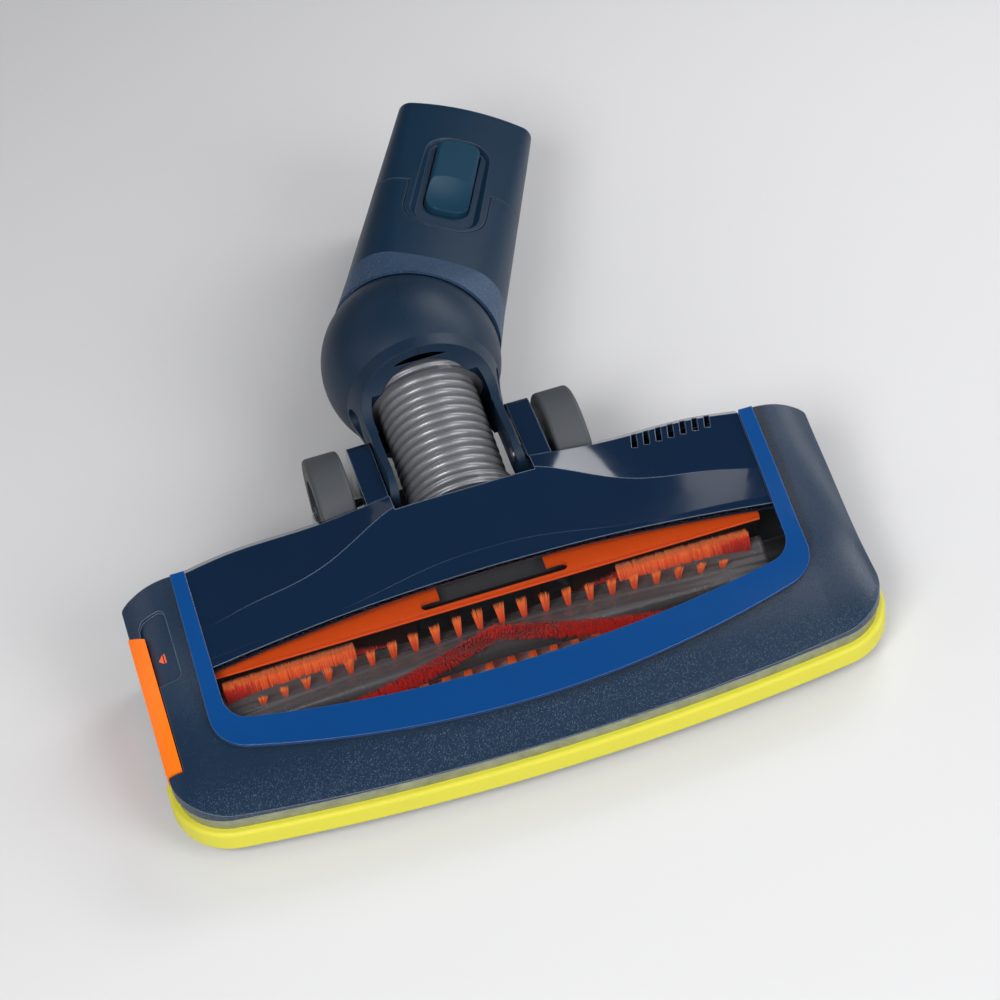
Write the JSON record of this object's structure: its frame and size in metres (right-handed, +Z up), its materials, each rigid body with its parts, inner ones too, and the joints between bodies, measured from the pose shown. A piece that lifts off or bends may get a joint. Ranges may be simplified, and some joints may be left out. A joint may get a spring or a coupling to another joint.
{
  "type": "vacuum floor brush head",
  "caption": "Motorised vacuum floor head: lit hood with a window over a driven brush roller, rear wheels, pitching neck with ribbed hose and a swivelling tube socket with release button.",
  "frame": {"origin": "floor level, under the middle of the overall box with the neck at rest and the tube turned to the right", "axes": "+X to the right seen from the front edge looking towards the neck, +Y back along the neck, +Z up"},
  "size_m": [0.249, 0.2904, 0.0758],
  "materials": {
    "hood_shell": "fine sparkle texture",
    "accent_blue": "high gloss",
    "clear_pane": "clear, slightly smoked",
    "cover_navy": "high gloss",
    "lime_rubber": "soft satin",
    "clear_lens": "clear",
    "board_green": "circuit board",
    "light_chip": "light emitter",
    "sole_black": "fine grain",
    "orange_plastic": "satin",
    "latch_orange": "satin gloss",
    "duct_black": "plain",
    "felt_red": "bristle strip",
    "steel": "turned",
    "wheel_grey": "satin",
    "tyre_grey": "smooth",
    "core_grey": "satin",
    "bristle_orange": "nylon bristle",
    "plush_red": "short pile",
    "bearing_black": "plain",
    "motor_can": "zinc plated can",
    "belt_rubber": "toothed belt",
    "navy_satin": "satin gloss",
    "collar_blue": "fine texture",
    "button_teal": "high gloss",
    "hose_silver": "metallic grey gloss",
    "contact_brass": "gold plated"
  },
  "bodies": {
    "head": {"hood": "hood_shell", "accent_frame": "accent_blue", "window": "clear_pane", "top_cover": "cover_navy", "bumper": "lime_rubber", "light_lens": "clear_lens", "light_board": "board_green", "light_chips": "light_chip", "sole_plate": "sole_black", "brush_tunnel": "orange_plastic", "air_duct": "duct_black", "front_felt": "felt_red", "sole_screws": "steel", "front_roller_axles": "steel", "left_bearing": "bearing_black", "right_bearing": "bearing_black", "drive_motor": "motor_can", "motor_cradle": "bearing_black", "drive_belt": "belt_rubber", "pivot_pins": "steel", "wheel_axles": "steel", "hose_lower_cuff": "duct_black"},
    "left_front_roller": {"left_front_roller": "wheel_grey"},
    "right_front_roller": {"right_front_roller": "wheel_grey"},
    "brush_roller": {"roller_core": "core_grey", "roller_shaft": "steel", "roller_end_cap": "bearing_black", "roller_drive_hub": "bearing_black", "bristle_tufts": "bristle_orange", "bristle_strips": "bristle_orange", "plush_strips": "plush_red"},
    "motor_pulley": {"motor_pulley": "steel"},
    "left_wheel": {"left_wheel_hub": "wheel_grey", "left_wheel_tyre": "tyre_grey"},
    "right_wheel": {"right_wheel_hub": "wheel_grey", "right_wheel_tyre": "tyre_grey"},
    "latch": {"brush_latch": "latch_orange"},
    "neck": {"left_yoke_half": "navy_satin", "right_yoke_half": "navy_satin", "hose": "hose_silver", "hose_upper_cuff": "duct_black"},
    "tube": {"swivel_collar": "collar_blue", "tube_base": "navy_satin", "tube_mouth": "navy_satin", "swivel_pin": "steel", "contact_pins": "contact_brass"},
    "button": {"release_button": "button_teal"}
  },
  "joints": [
    {"name": "neck_pitch", "type": "hinge", "parent": "head", "child": "neck", "pos_m": [0, -0.03494, 0.042], "axis": [1, 0, 0], "range_deg": [0, 75], "deforming": ["hose"]},
    {"name": "neck_swivel", "type": "hinge", "parent": "neck", "child": "tube", "pos_m": [0, 0.02086, 0.0435], "axis": [0, -0.5592, 0.829], "range_deg": [-11, 69]},
    {"name": "release_button", "type": "slide", "parent": "tube", "child": "button", "axis": [-0.2918, 0.0102, -0.9564], "range_m": [0, 0.002], "stiffness_N_per_m": 300, "springref_m": -0.002},
    {"name": "brush_latch", "type": "slide", "parent": "head", "child": "latch", "axis": [-1, 0, 0], "range_m": [0, 0.006]},
    {"name": "roller_spin", "type": "hinge", "parent": "head", "child": "brush_roller", "pos_m": [0, -0.08954, 0.0144], "axis": [1, 0, 0], "continuous": true},
    {"name": "motor_spin", "type": "hinge", "parent": "head", "child": "motor_pulley", "pos_m": [0, -0.06014, 0.025], "axis": [1, 0, 0], "continuous": true},
    {"name": "left_wheel_spin", "type": "hinge", "parent": "head", "child": "left_wheel", "pos_m": [0, -0.02534, 0.024], "axis": [1, 0, 0], "continuous": true},
    {"name": "left_front_roller_spin", "type": "hinge", "parent": "head", "child": "left_front_roller", "pos_m": [0, -0.11814, 0.0054], "axis": [1, 0, 0], "continuous": true},
    {"name": "right_wheel_spin", "type": "hinge", "parent": "head", "child": "right_wheel", "pos_m": [0, -0.02534, 0.024], "axis": [1, 0, 0], "continuous": true},
    {"name": "right_front_roller_spin", "type": "hinge", "parent": "head", "child": "right_front_roller", "pos_m": [0, -0.11814, 0.0054], "axis": [1, 0, 0], "continuous": true}
  ],
  "couplings": [
    {"joint": "motor_spin", "follows": "roller_spin", "ratio": 1.3636}
  ]
}
